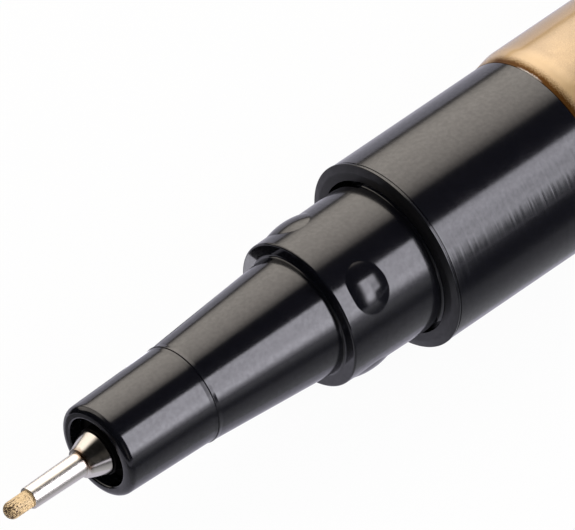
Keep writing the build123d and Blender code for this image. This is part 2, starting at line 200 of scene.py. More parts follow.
class Finish(NodeBench):
    """A new material, with its shader and a place vector that is centred on the marker's axis."""

    def __init__(self, name):
        self.material = bpy.data.materials.new(name)
        self.material.use_nodes = True
        super().__init__(self.material.node_tree)
        self.shader = self.nodes["Principled BSDF"]
        centred = self.add("ShaderNodeMapping")
        centred.inputs["Location"].default_value = (0, 0, -AXIS_Z)
        self.feed(centred.inputs["Vector"], self.add("ShaderNodeTexCoord").outputs["Object"])
        self.place = centred.outputs["Vector"]

    def give(self, **values):
        """Values or links for the shader's sockets, with _ for a space in a name."""
        for name, value in values.items():
            self.feed(self.shader.inputs[name.replace("_", " ")], value)

    def effect(self, tree, **values):
        """A shared effect with its own values here; gives its outputs."""
        node = self.add("ShaderNodeGroup", node_tree=tree)
        self.feed(node.inputs["Place"], self.place)
        for name, value in values.items():
            self.feed(node.inputs[name], value)
        return node.outputs

    def towards(self, direction):
        """How far a point lies towards a direction, from the origin on the axis."""
        node = self.add("ShaderNodeVectorMath", operation="DOT_PRODUCT")
        self.feed(node.inputs[0], self.place)
        self.feed(node.inputs[1], direction)
        return node.outputs["Value"]

    def behind(self, place):
        """How far a point lies behind a place on the axis."""
        return self.math("SUBTRACT", self.towards((1, 0, 0)), place)

    def bump(self, height, distance, strength=1.0):
        node = self.add("ShaderNodeBump")
        node.inputs["Strength"].default_value = strength
        node.inputs["Distance"].default_value = distance
        self.feed(node.inputs["Height"], height)
        self.give(Normal=node.outputs["Normal"])


def new_effect(name, inputs, outputs):
    """Shader node group with the named sockets; gives its tree, bench, input and output sockets."""
    tree = bpy.data.node_groups.new(name, "ShaderNodeTree")
    for socket in inputs:
        kind = "NodeSocketVector" if socket == "Place" else "NodeSocketFloat"
        tree.interface.new_socket(socket, in_out="INPUT", socket_type=kind)
    for socket in outputs:
        tree.interface.new_socket(socket, in_out="OUTPUT", socket_type="NodeSocketFloat")
    bench = NodeBench(tree)
    return tree, bench, bench.add("NodeGroupInput").outputs, bench.add("NodeGroupOutput").inputs


skin_effect, bench, given, made = new_effect(
    "mottled_skin", ("Place", "Scale", "Smoothest", "Roughest"), ("Height", "Roughness"))
mottle = bench.noise(given["Place"], given["Scale"])
bench.feed(made["Height"], mottle)
bench.feed(made["Roughness"], bench.span(mottle, 0.3, 0.7, given["Smoothest"], given["Roughest"]))


def stand_in(piece, node, body, finish):
    """The finished piece takes the place of its node and moves with the node's body."""
    piece.data.materials.clear()
    piece.data.materials.append(finish.material)
    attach(piece, body)
    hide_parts(node)


barrel_front = barrel_low.x
barrel_rear = barrel_high.x
lip_rear = barrel_front + LIP_LENGTH
shoulder_rear = lip_rear + SHOULDER_LENGTH
barrel_bore = BARREL_RADIUS - BARREL_WALL
lip_bore = LIP_RADIUS - BARREL_WALL
barrel = turned_piece("gold_barrel", half_section([
    (barrel_front, lip_bore),
    (barrel_front, LIP_RADIUS, LIP_EDGE),
    (lip_rear, LIP_RADIUS, LIP_ROUND),
    (shoulder_rear, BARREL_RADIUS, SHOULDER_ROUND),
    (barrel_rear, BARREL_RADIUS, LIP_EDGE),
    (barrel_rear, barrel_bore),
    (shoulder_rear, barrel_bore),
    (lip_rear, lip_bore),
]))
gold = Finish("gold_lacquer")
flakes = gold.noise(gold.place, 22000, detail=1)
lacquer = gold.effect(skin_effect, Scale=900, Smoothest=0.52, Roughest=0.62)
from_edge = gold.behind(barrel_front)
unevenness = gold.span(gold.noise(gold.place, 14000), 0.3, 0.7, -EDGE_RAGGED, EDGE_RAGGED)
ragged = gold.math("ADD", from_edge, unevenness)
to_back = gold.towards((0, 1, 0))
# painted shade: a dark brown band along the neck's front edge, weaker towards the far side, with no coat
# on it
shade_side = gold.span(to_back, *EDGE_SHADE_SIDE, 1, 0.3)
edge_shade_mask = gold.math("MULTIPLY", gold.span(ragged, *EDGE_SHADE, 1, 0), shade_side)
frayed = gold.math("ADD", from_edge, gold.math("MULTIPLY", unevenness, 0.6))
chipped = gold.span(frayed, *CHIP_DEPTH, 1, 0)
from_chip = gold.math("ABSOLUTE", gold.math("SUBTRACT", to_back, CHIP_MIDDLE))
bare = gold.math("MULTIPLY", chipped, gold.span(from_chip, *CHIP_HALF, 1, 0))
metallic_gold = gold.blend(gold.span(flakes, 0.35, 0.65, 0, 1), GOLD_DEEP, GOLD)
# painted highlight: the lacquer is paler on the shoulder behind the neck's edge
highlighted_gold = gold.blend(gold.span(from_edge, *SHOULDER_HIGHLIGHT, 1, 0), metallic_gold, GOLD_HIGHLIGHT)
gold.give(Base_Color=gold.blend(bare, gold.blend(edge_shade_mask, highlighted_gold, PAINTED_SHADE_GOLD), RAW_ALUMINIUM))
gold.give(Metallic=gold.span(edge_shade_mask, 0, 1, 0.75, 1), Roughness=lacquer["Roughness"])
gold.give(Coat_Weight=gold.span(edge_shade_mask, 0, 0.7, 1, 0), Coat_Roughness=0.08)
gold.bump(flakes, 0.004 * MM, 0.3)
stand_in(barrel, "barrel", "barrel", gold)

# Mixing ball: a polished steel ball, loose in the paint inside the barrel. It stirs the paint
# when the marker is shaken.
STEEL = (0.5, 0.5, 0.51, 1)
STEEL_PALE = (0.68, 0.68, 0.69, 1)
steel = Finish("polished_steel")
steel_skin = steel.effect(skin_effect, Scale=2500, Smoothest=0.14, Roughest=0.26)
steel_tone = steel.blend(steel_skin["Height"], STEEL, STEEL_PALE)
steel.give(Base_Color=steel_tone, Metallic=1.0, Roughness=steel_skin["Roughness"])


def dress(node, finish):
    """A hidden piece keeps the shape of its node and takes its finish."""
    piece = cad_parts[node]
    piece.data.materials.clear()
    piece.data.materials.append(finish.material)


dress("mixing_ball", steel)

# Collar: a glossy black moulded sleeve, pressed on the nose section's flange in front and into
# the barrel behind. Polishing has left fine lines round it, and its front edge has a thin bead.
collar_low, collar_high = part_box("collar")
collar_front = collar_low.x
collar_rear = collar_high.x
BEVEL_LENGTH = 0.13 * MM
BEVEL_WIDTH = 0.42 * MM
BEVEL_ROUND = 0.6 * MM
BEAD_HEIGHT = 0.04 * MM
BEAD_LENGTH = 0.14 * MM
BEAD_EDGE = 0.05 * MM
GROOVE_DEPTH = 0.04 * MM
GROOVE_LENGTH = 0.1 * MM
FLANGE_RADIUS = 4.8 * MM
FLANGE_LENGTH = 1.4 * MM
COLLAR_BORE = 4.22 * MM
RING_RADIUS = 0.4 * MM
RING_ROOM = 0.1 * MM
FINE_EDGE = 0.02 * MM
BLACK = (0.0043, 0.0045, 0.0068, 1)
COLLAR_FACE_ROUGHNESS = 0.5
FACE_BLUR = 0.03 * MM  # depth over which a face's own roughness ends
RUBBER = (0.012, 0.012, 0.012, 1)
RUBBER_PALE = (0.03, 0.03, 0.03, 1)
collar_radius = (collar_high.z - collar_low.z) / 2 - BEAD_HEIGHT
bead_front = collar_front + BEVEL_LENGTH
bead_rear = bead_front + BEAD_LENGTH
groove_rear = bead_rear + GROOVE_LENGTH
plug_radius = barrel_bore - FIT


def ring_groove(place):
    """Corners of the groove that holds a sealing ring against the barrel's bore."""
    half = RING_RADIUS + RING_ROOM / 2
    floor = plug_radius - 2 * RING_RADIUS - FIT
    front = place - half
    rear = place + half
    return [(front, plug_radius), (front, floor), (rear, floor), (rear, plug_radius)]


collar = turned_piece("collar_sleeve", half_section([
    (collar_front, FLANGE_RADIUS + FIT),
    (collar_front, collar_radius - BEVEL_WIDTH, BEVEL_ROUND),
    (bead_front, collar_radius + BEAD_HEIGHT, BEAD_EDGE),
    (bead_rear, collar_radius + BEAD_HEIGHT, BEAD_EDGE),
    (bead_rear, collar_radius - GROOVE_DEPTH),
    (groove_rear, collar_radius - GROOVE_DEPTH),
    (groove_rear, collar_radius, FINE_EDGE),
    (barrel_front, collar_radius),
    (barrel_front, lip_bore - FIT),
    (lip_rear, lip_bore - FIT),
    (shoulder_rear, plug_radius),
    *ring_groove((shoulder_rear + collar_rear) / 2),
    (collar_rear, plug_radius),
    (collar_rear, COLLAR_BORE),
    (collar_front + FLANGE_LENGTH, COLLAR_BORE),
    (collar_front + FLANGE_LENGTH, FLANGE_RADIUS + FIT),
]))
lines_effect, bench, given, made = new_effect("turning_lines", ("Place", "Scale"), ("Lines",))
bench.feed(made["Lines"], bench.noise(given["Place"], given["Scale"], stretch=(1, 0.02, 0.02), detail=2))


def black_plastic(name, line_share, face=None):
    """Polished black plastic; line_share is how strongly fine lines round the axis show.

    A flat front face with another roughness is given as its place, its depth and that roughness.
    """
    finish = Finish(name)
    lines = finish.effect(lines_effect, Scale=4200)["Lines"]
    roughness = finish.effect(skin_effect, Scale=1500, Smoothest=0.125, Roughest=0.165)["Roughness"]
    film = finish.noise(finish.place, 4200, detail=4)
    if face:
        place, depth, face_roughness = face
        from_face = finish.math("ABSOLUTE", finish.behind(place))
        on_face = finish.span(from_face, depth, depth + FACE_BLUR, 1, 0)
        change = finish.math("SUBTRACT", face_roughness, roughness)
        roughness = finish.math("ADD", roughness, finish.math("MULTIPLY", on_face, change))
    finish.give(Base_Color=BLACK, Roughness=roughness, Coat_Roughness=0.12)
    finish.give(Coat_Weight=finish.span(film, 0.35, 0.65, 0.05, 0.25))
    finish.bump(lines, 0.005 * MM, line_share)
    return finish


collar_face = (collar_front, BEVEL_LENGTH, COLLAR_FACE_ROUGHNESS)
collar_black = black_plastic("collar_black", 1.0, face=collar_face)
stand_in(collar, "collar", "barrel", collar_black)
rubber = Finish("seal_rubber")
rubber_skin = rubber.effect(skin_effect, Scale=4000, Smoothest=0.5, Roughest=0.7)
rubber_tone = rubber.blend(rubber_skin["Height"], RUBBER, RUBBER_PALE)
rubber.give(Base_Color=rubber_tone, Roughness=rubber_skin["Roughness"])
dress("barrel_gasket", rubber)

# Nose section: one black moulding with a long cone, a wider section that snaps into the cap and
# a root flange inside the collar. Four oval bumps hold the cap, and two notches key the flange.
nose_low, nose_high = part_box("nose_section")
parting = nose_low.x
section_rear = nose_high.x
SECTION_STEPS = 512
SECTION_BORE = 2.6 * MM
TAPER_FRONT_RADIUS = 3.045 * MM
TAPER_REAR_RADIUS = 3.7 * MM
TAPER_ROOT_ROUND = 0.15 * MM
SEAM_RIM = 0.03 * MM
SEAM_RIM_LENGTH = 0.25 * MM
SEAM_EDGE = 0.035 * MM
SNAP_LENGTH = 6.52 * MM
SNAP_FRONT_RADIUS = 4.525 * MM
SNAP_REAR_RADIUS = 4.62 * MM
SNAP_EDGE = 0.12 * MM
SECTION_RADIUS = 4.2 * MM
ROOT_ROUND = 0.12 * MM
VALVE_SOCKET = 3.57 * MM
VALVE_LEAD = 2.0 * MM
BUMP_COUNT = 4
BUMP_ANGLE = radians(46)
BUMP_HEIGHT = 0.22 * MM
BUMP_ACROSS_RADIUS = 2.85 * MM
BUMP_SETBACK = 0.95 * MM
BUMP_PEAK = 2.2 * MM
BUMP_END = 3.55 * MM
BUMP_GRID = 0.04 * MM
BUMP_CREASE = 0.1 * MM
NOTCH_COUNT = 2
NOTCH_WIDTH = 4.3 * MM
NOTCH_DEPTH = 0.3 * MM
NOTCH_LENGTH = 1.2 * MM
NOTCH_LEAD = 0.3 * MM
SNAP_FACE_ROUGHNESS = 0.04
snap_front = collar_front - SNAP_LENGTH
valve_front = collar_front - VALVE_LEAD
flange_rear = collar_front + FLANGE_LENGTH
bump_start = snap_front + BUMP_SETBACK
bump_stop = snap_front + BUMP_END


def on_snap(place):
    """Corner on the skin of the snap section."""
    rise = (SNAP_REAR_RADIUS - SNAP_FRONT_RADIUS) * (place - snap_front) / SNAP_LENGTH
    return place, SNAP_FRONT_RADIUS + rise


bump_rings = round((bump_stop - bump_start) / BUMP_GRID) + 4
bump_zone = [on_snap(bump_start + (ring - 2) * BUMP_GRID) for ring in range(bump_rings + 1)]
section = turned_piece("nose_section_moulding", half_section([
    (parting, SECTION_BORE),
    (parting, TAPER_FRONT_RADIUS + SEAM_RIM / 2, SEAM_EDGE),
    (parting + SEAM_RIM_LENGTH, TAPER_FRONT_RADIUS, SEAM_RIM_LENGTH / 2),
    (snap_front, TAPER_REAR_RADIUS, TAPER_ROOT_ROUND),
    (snap_front, SNAP_FRONT_RADIUS, SNAP_EDGE),
    *bump_zone,
    (collar_front, SNAP_REAR_RADIUS, ROOT_ROUND),
    (collar_front, FLANGE_RADIUS),
    (flange_rear, FLANGE_RADIUS),
    (flange_rear, SECTION_RADIUS),
    (section_rear, SECTION_RADIUS),
    (section_rear, VALVE_SOCKET),
    (valve_front, VALVE_SOCKET),
    (valve_front, SECTION_BORE),
]), steps=SECTION_STEPS)


def bump_radius(place, angle):
    """Distance of a snap bump's skin from the axis, at an angle from the bump's middle."""
    rise = BUMP_END - BUMP_PEAK
    along = place - snap_front - BUMP_PEAK
    arc_radius = (rise**2 + BUMP_HEIGHT**2) / (2 * BUMP_HEIGHT)
    crown = BUMP_ACROSS_RADIUS - arc_radius + sqrt(arc_radius**2 - along**2)
    centre = SNAP_FRONT_RADIUS + BUMP_HEIGHT - BUMP_ACROSS_RADIUS
    inside = crown**2 - (centre * sin(angle)) ** 2
    return centre * cos(angle) + sqrt(inside) if inside > 0 else 0


for vertex in section.data.vertices:
    across = Vector((vertex.co.y, vertex.co.z - AXIS_Z))
    if not bump_start - MERGE_DISTANCE < vertex.co.x < bump_stop or across.length < SECTION_RADIUS:
        continue
    turn = (atan2(-across.x, across.y) - BUMP_ANGLE) % (2 * pi / BUMP_COUNT)
    turn = min(turn, 2 * pi / BUMP_COUNT - turn)
    raised = bump_radius(vertex.co.x, turn) - across.length
    if raised > 0:
        share = min(1, (vertex.co.x - bump_start) / BUMP_CREASE)
        across *= 1 + raised * share / across.length
        vertex.co.y = across.x
        vertex.co.z = across.y + AXIS_Z


def cut(piece, name, centre, angle, size):
    """Box cut out of a piece; its height stands at an angle from straight up towards -Y."""
    bpy.ops.object.select_all(action="DESELECT")
    bpy.ops.mesh.primitive_cube_add(size=1, location=centre, rotation=(angle, 0, 0), scale=size)
    tool = bpy.context.object
    bpy.ops.object.select_all(action="DESELECT")
    bpy.context.view_layer.objects.active = piece
    piece.select_set(True)
    modifier = piece.modifiers.new(name, "BOOLEAN")
    modifier.object = tool
    modifier.operation = "DIFFERENCE"
    bpy.ops.object.modifier_apply(modifier=modifier.name)
    bpy.data.objects.remove(tool)


def out_from_axis(place, angle, radius):
    """Point at a place on the axis and a radius, at an angle from straight up towards -Y."""
    return Vector((place, -sin(angle) * radius, AXIS_Z + cos(angle) * radius))


notch_floor = SNAP_REAR_RADIUS - NOTCH_DEPTH
notch_middle = collar_front - NOTCH_LEAD + NOTCH_LENGTH / 2
for index in range(NOTCH_COUNT):
    angle = BUMP_ANGLE + 2 * pi / BUMP_COUNT + 2 * pi / NOTCH_COUNT * index
    middle = out_from_axis(notch_middle, angle, notch_floor + MM / 2)
    cut(section, "notch", middle, angle, (NOTCH_LENGTH, NOTCH_WIDTH, MM))
bpy.ops.object.shade_smooth_by_angle(angle=SMOOTH_ANGLE)
nose_black = black_plastic("nose_black", 0.25, face=(snap_front, FACE_BLUR, SNAP_FACE_ROUGHNESS))
stand_in(section, "nose_section", "barrel", nose_black)

# Valve: a natural plastic cup pressed into the nose section, with a rubber seat, a poppet, a steel
# spring and a pierced disc that holds it. A felt ring in front of it keeps the nib supplied.
NATURAL = (0.72, 0.72, 0.68, 1)
NATURAL_PALE = (0.82, 0.82, 0.78, 1)
FELT = (0.6, 0.57, 0.5, 1)
FELT_PALE = (0.85, 0.83, 0.77, 1)
natural = Finish("natural_plastic")
natural_skin = natural.effect(skin_effect, Scale=1800, Smoothest=0.38, Roughest=0.5)
natural_tone = natural.blend(natural_skin["Height"], NATURAL, NATURAL_PALE)
natural.give(Base_Color=natural_tone, Roughness=natural_skin["Roughness"])
for node in ("valve_body", "valve_stem", "spring_cup"):
    dress(node, natural)
dress("valve_seal", rubber)
dress("valve_spring", steel)
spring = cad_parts["valve_spring"]
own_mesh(spring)
felt = Finish("pressed_felt")
felt_skin = felt.effect(skin_effect, Scale=9000, Smoothest=0.85, Roughest=1.0)
felt_tone = felt.blend(felt_skin["Height"], FELT, FELT_PALE)
felt.give(Base_Color=felt_tone, Roughness=felt_skin["Roughness"])
felt.bump(felt_skin["Height"], 0.08 * MM)
dress("felt_sleeve", felt)

# Nose tip: the front black moulding, pressed into the section behind the parting line. Its mouth
# guides the slider, its lip is well rounded, and a low rim runs along the parting line.
tip_low, tip_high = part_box("nose_tip")
nose_front = tip_low.x
MOUTH_RADIUS = 2.13 * MM
MOUTH_EDGE = 0.15 * MM
NOSE_FRONT_RADIUS = 2.835 * MM
NOSE_REAR_RADIUS = 2.99 * MM
NOSE_ROUND = 0.45 * MM
SPIGOT_RADIUS = 2.58 * MM
nose_tip = turned_piece("nose_tip_moulding", half_section([
    (nose_front, MOUTH_RADIUS, MOUTH_EDGE),
    (nose_front, NOSE_FRONT_RADIUS, NOSE_ROUND),
    (parting - SEAM_RIM_LENGTH, NOSE_REAR_RADIUS, SEAM_RIM_LENGTH / 2),
    (parting, NOSE_REAR_RADIUS + SEAM_RIM, SEAM_EDGE),
    (parting, SPIGOT_RADIUS),
    (tip_high.x, SPIGOT_RADIUS),
    (tip_high.x, MOUTH_RADIUS),
]))
stand_in(nose_tip, "nose_tip", "barrel", black_plastic("nose_tip_black", 0.2))

# Slider: a matt black moulding that carries the metal tip and the nib. It runs in the nose tip's
# mouth, and its hollow pusher opens the valve.
MATT_BLACK = (0.003, 0.003, 0.003, 1)
MATT_BLACK_PALE = (0.006, 0.006, 0.006, 1)
slider = Finish("matt_black_plastic")
slider_skin = slider.effect(skin_effect, Scale=3000, Smoothest=0.5, Roughest=0.65)
slider_tone = slider.blend(slider_skin["Height"], MATT_BLACK, MATT_BLACK_PALE)
slider.give(Base_Color=slider_tone, Roughness=slider_skin["Roughness"], Specular_IOR_Level=0.08)
dress("nib_holder", slider)

# Metal tip: a nickel-plated tube drawn to a cone with a rim at its root, pressed into the slider.
# A painted shade darkens the top of the corner at the tube's root to brown.
metal_low, metal_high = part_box("metal_tip")
tube_front = metal_low.x
shank_rear = metal_high.x
TUBE_FRONT_RADIUS = 0.66 * MM
TUBE_ROOT_RADIUS = 0.715 * MM
TUBE_EDGE = 0.06 * MM
NIB_BORE = 0.54 * MM
CONE_FRONT_RADIUS = 0.9 * MM
CONE_LENGTH = 1.16 * MM
RIM_WIDTH = 0.18 * MM
SHANK_RADIUS = 1.0 * MM
NICKEL = (0.78, 0.745, 0.69, 1)
ROOT_SHADE_BROWN = (0.2, 0.085, 0.015, 1)
SHADED_SIDE = (0, -0.35, 0.94)
ROOT_SHADE_RAGGED = 0.2 * MM
ROOT_SHADE = (0.1 * MM, 0.34 * MM)  # distance from the corner where the painted shade starts to fade, and its end
cone_rim_radius = (metal_high.z - metal_low.z) / 2
rim_front = nose_front
cone_front = rim_front - CONE_LENGTH
rim_rear = rim_front + RIM_WIDTH
metal_tip = turned_piece("metal_tip_tube", half_section([
    (tube_front, NIB_BORE),
    (tube_front, TUBE_FRONT_RADIUS, TUBE_EDGE),
    (cone_front, TUBE_ROOT_RADIUS, TUBE_EDGE),
    (cone_front, CONE_FRONT_RADIUS, TUBE_EDGE),
    (rim_front, cone_rim_radius, TUBE_EDGE),
    (rim_rear, cone_rim_radius, TUBE_EDGE / 2),
    (rim_rear, SHANK_RADIUS),
    (shank_rear, SHANK_RADIUS),
    (shank_rear, NIB_BORE),
]))
nickel = Finish("nickel_plate")
plate = nickel.effect(skin_effect, Scale=3000, Smoothest=0.1, Roughest=0.17)
drawn_lines = nickel.effect(lines_effect, Scale=12000)["Lines"]
on_top = nickel.span(nickel.towards(SHADED_SIDE), 0.25 * MM, 0.6 * MM, 0, 1)
from_root = nickel.math("ABSOLUTE", nickel.behind(cone_front))
unevenness = nickel.span(nickel.noise(nickel.place, 3000), 0.3, 0.7, 0, ROOT_SHADE_RAGGED)
ragged_root_distance = nickel.math("ADD", from_root, unevenness)
# painted shade: dark brown on the upper side of the corner at the tube's root
root_shade_mask = nickel.math("MULTIPLY", nickel.span(ragged_root_distance, *ROOT_SHADE, 0.9, 0), on_top)
satin = nickel.span(nickel.behind(cone_front), -0.05 * MM, 0, 0.2, 0.04)
nickel.give(Base_Color=nickel.blend(root_shade_mask, NICKEL, ROOT_SHADE_BROWN), Metallic=1.0)
nickel.give(Roughness=nickel.math("ADD", plate["Roughness"], satin))
nickel.bump(drawn_lines, 0.001 * MM, 0.6)
stand_in(metal_tip, "metal_tip", "tip", nickel)

# Nib: a rod of bonded fibre, soaked with gold paint and flecked with dark specks, with a bullet tip where
# the specks grow denser towards the front as painted shade.
# It is held in the metal tip and in the slider behind it.
nib_low, nib_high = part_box("nib")
nib_front = nib_low.x
nib_rear = nib_high.x
NIB_ROUND = 0.45 * MM
FIBRE = (0.9, 0.65, 0.34, 1)
FIBRE_DARK = (0.08, 0.04, 0.012, 1)
nib_radius = (nib_high.z - nib_low.z) / 2
nib = turned_piece("fibre_nib", half_section([
    (nib_front, 0),
    (nib_front, nib_radius, NIB_ROUND),
    (nib_rear, nib_radius),
    (nib_rear, 0),
]))
fibre = Finish("gold_soaked_fibre")
fibres = fibre.noise(fibre.place, 15000, stretch=(0.6, 1, 1), detail=2)
# painted shade: more dark specks towards the front of the bullet tip
shaded_tip = fibre.span(fibre.behind(nib_front), 0, 1.1 * MM, 0.17, 0)
specks = fibre.span(fibre.math("ADD", fibres, shaded_tip), 0.58, 0.66, 0, 1)
fibre.give(Base_Color=fibre.blend(specks, FIBRE, FIBRE_DARK), Roughness=0.5)
fibre.bump(fibres, 0.03 * MM, 0.7)
stand_in(nib, "nib", "tip", fibre)

# Tail plug: a black moulding pressed into the rear of the barrel, with a sealing ring, a flange
# nearly as wide as the barrel and a post that the cap is pushed on.
tail_low, tail_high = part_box("tail_plug")
TAIL_FLANGE_LENGTH = 1.5 * MM
TAIL_EDGE = 0.35 * MM
TAIL_BORE = 3.4 * MM
TAIL_END_WALL = 1.2 * MM
POST_RADIUS = 4.55 * MM
POST_EDGE = 0.4 * MM
tail_radius = (tail_high.z - tail_low.z) / 2
post_front = barrel_rear + TAIL_FLANGE_LENGTH
post_floor = tail_high.x - TAIL_END_WALL
tail_plug = turned_piece("tail_plug_moulding", half_section([
    (post_floor, 0),
    (post_floor, TAIL_BORE),
    (tail_low.x, TAIL_BORE),
    (tail_low.x, plug_radius, TAIL_EDGE / 2),
    *ring_groove((tail_low.x + barrel_rear) / 2),
    (barrel_rear, plug_radius),
    (barrel_rear, tail_radius, FINE_EDGE),
    (post_front, tail_radius, TAIL_EDGE),
    (post_front, POST_RADIUS),
    (tail_high.x, POST_RADIUS, POST_EDGE),
    (tail_high.x, 0),
]))
stand_in(tail_plug, "tail_plug", "barrel", black_plastic("tail_black", 0.4))
dress("tail_seal", rubber)

# Cap: a black moulded shell with a snap bead in its mouth, an inner cap of natural plastic that
# closes round the nose, and a pocket near its closed end for the clip.
cap_low, cap_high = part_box("cap_shell")
cap_mouth = cap_low.x
cap_rear = cap_high.x
CAP_END_RADIUS = 5.5 * MM
CAP_BORE = 4.9 * MM
CAP_END_WALL = 3.5 * MM
CAP_EDGE = 0.5 * MM
CAP_MOUTH_EDGE = 0.2 * MM
CAP_BEAD_AT = 2.9 * MM
CAP_BEAD_LENGTH = 0.9 * MM
CAP_BEAD_RADIUS = 4.67 * MM
DISC_RADIUS = 4.3 * MM
DISC_LENGTH = 1.0 * MM
CAP_RADIUS = 5.73 * MM
CLIP_ANGLE = radians(135)
CLIP_WIDTH = 3.0 * MM
CLIP_ROOT_LENGTH = 2.3 * MM
CLIP_ROOT_DEPTH = 0.7 * MM
clip_low, clip_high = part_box("cap_clip")
root_rear = clip_high.x
root_front = root_rear - CLIP_ROOT_LENGTH
root_floor = CAP_END_RADIUS - CLIP_ROOT_DEPTH
cap_floor = cap_rear - CAP_END_WALL
cap_bead = cap_mouth + CAP_BEAD_AT
cap = turned_piece("cap_moulding", half_section([
    (cap_floor, 0),
    (cap_floor, CAP_BORE),
    (cap_bead + CAP_BEAD_LENGTH / 2, CAP_BORE),
    (cap_bead, CAP_BEAD_RADIUS, CAP_BEAD_LENGTH / 2),
    (cap_bead - CAP_BEAD_LENGTH / 2, CAP_BORE),
    (cap_mouth, CAP_BORE, CAP_MOUTH_EDGE),
    (cap_mouth, CAP_RADIUS, CAP_MOUTH_EDGE),
    (cap_rear, CAP_END_RADIUS, CAP_EDGE),
    (cap_rear, DISC_RADIUS + FIT, FINE_EDGE),
    (cap_rear - DISC_LENGTH, DISC_RADIUS + FIT),
    (cap_rear - DISC_LENGTH, 0),
]))
pocket_size = (CLIP_ROOT_LENGTH + 2 * FIT, CLIP_WIDTH + 2 * FIT, 2 * MM)
pocket_middle = out_from_axis((root_front + root_rear) / 2, CLIP_ANGLE, root_floor + MM)
cut(cap, "clip_pocket", pocket_middle, CLIP_ANGLE, pocket_size)
bpy.ops.object.shade_smooth_by_angle(angle=SMOOTH_ANGLE)
stand_in(cap, "cap_shell", "cap", black_plastic("cap_black", 0.5))
dress("cap_inner_seal", natural)

# Clip: a springy black bar, moulded with a root that is pressed into the cap's pocket and a nub at
# its free end that holds a pocket's edge.
CLIP_TOP = 7.268 * MM
CLIP_THICKNESS = 0.9 * MM
CLIP_HEEL_ROUND = 0.8 * MM
CLIP_TIP_ROUND = 0.35 * MM
CLIP_NUB_LENGTH = 2.4 * MM
CLIP_NUB_GAP = 0.1 * MM
CLIP_EDGE = 0.28 * MM
clip_free = clip_low.x
clip_under = CLIP_TOP - CLIP_THICKNESS
clip_side = half_section([
    (root_rear, root_floor),
    (root_rear, CLIP_TOP, CLIP_HEEL_ROUND),
    (clip_free, CLIP_TOP, CLIP_TIP_ROUND),
    (clip_free, clip_under),
    (clip_free + CLIP_NUB_LENGTH / 2, CAP_RADIUS + CLIP_NUB_GAP, CLIP_NUB_LENGTH / 4),
    (clip_free + CLIP_NUB_LENGTH, clip_under, CLIP_NUB_LENGTH / 4),
    (root_front, clip_under, CLIP_TIP_ROUND),
    (root_front, root_floor),
])
clip_across = Vector((0, cos(CLIP_ANGLE), sin(CLIP_ANGLE))) * CLIP_WIDTH
clip_route = [out_from_axis(point.x, CLIP_ANGLE, point.y) - clip_across / 2 for point in clip_side]
clip = drawn_outline("pocket_clip_bar", clip_route, closed=True)
bpy.ops.mesh.edge_face_add()
bpy.ops.mesh.extrude_region_move(TRANSFORM_OT_translate={"value": clip_across})
finish_mesh()
rounding = clip.modifiers.new("rounded_edges", "BEVEL")
rounding.width = CLIP_EDGE
rounding.segments = 5
rounding.limit_method = "ANGLE"
rounding.angle_limit = radians(50)
bpy.ops.object.modifier_apply(modifier=rounding.name)
bpy.ops.object.shade_smooth_by_angle(angle=SMOOTH_ANGLE)
stand_in(clip, "cap_clip", "cap", black_plastic("clip_black", 0.2))

# Top disc: a gold plastic disc, pressed flush into the closed end of the cap. It shows the colour
# of the paint.
DISC_EDGE = 0.3 * MM
DISC_DISH = 0.12 * MM
DISC_DISH_RADIUS = 3.4 * MM
DISC_GOLD = (0.42, 0.27, 0.11, 1)
DISC_PEARL = (0.6, 0.43, 0.2, 1)
disc_front = cap_rear - DISC_LENGTH
disc = turned_piece("cap_top_disc_gold", half_section([
    (disc_front, 0),
    (disc_front, DISC_RADIUS),
    (cap_rear, DISC_RADIUS, DISC_EDGE),
    (cap_rear, DISC_DISH_RADIUS, DISC_EDGE),
    (cap_rear - DISC_DISH, DISC_DISH_RADIUS - DISC_EDGE, DISC_EDGE),
    (cap_rear - DISC_DISH, 0),
]))
gold_plastic = Finish("gold_plastic")
disc_skin = gold_plastic.effect(skin_effect, Scale=2500, Smoothest=0.25, Roughest=0.33)
pearl = gold_plastic.noise(gold_plastic.place, 16000, detail=1)
gold_plastic.give(Base_Color=gold_plastic.blend(pearl, DISC_GOLD, DISC_PEARL))
gold_plastic.give(Metallic=0.5, Roughness=disc_skin["Roughness"], Coat_Weight=0.4)
stand_in(disc, "cap_top_disc", "cap", gold_plastic)

# Floor: a plain white surface that the marker lies on, in a white room. Both look white to the
# camera and in the gloss of the marker, and the floor keeps the marker's shadow.
FLOOR_SIZE = 14.0
FLOOR_WHITE = (0.92, 0.92, 0.92, 1)
FLOOR_GLOW = 0.96
FLOOR_IN_GLOSS = (0.607, 0.593, 0.69, 1)  # a little violet, as in the rims of the marker's gloss
ROOM_LIGHT = 0.45
bpy.ops.object.select_all(action="DESELECT")
bpy.ops.mesh.primitive_plane_add(size=FLOOR_SIZE)
floor = bpy.context.object
floor.name = "floor"


def seen(bench):
    """Light Path, and 1 where a ray comes from the camera, a reflection or a clear material."""
    rays = bench.add("ShaderNodeLightPath").outputs
    mirrored = bench.math("MAXIMUM", rays["Is Glossy Ray"], rays["Is Transmission Ray"])
    return rays, bench.math("MAXIMUM", rays["Is Camera Ray"], mirrored)


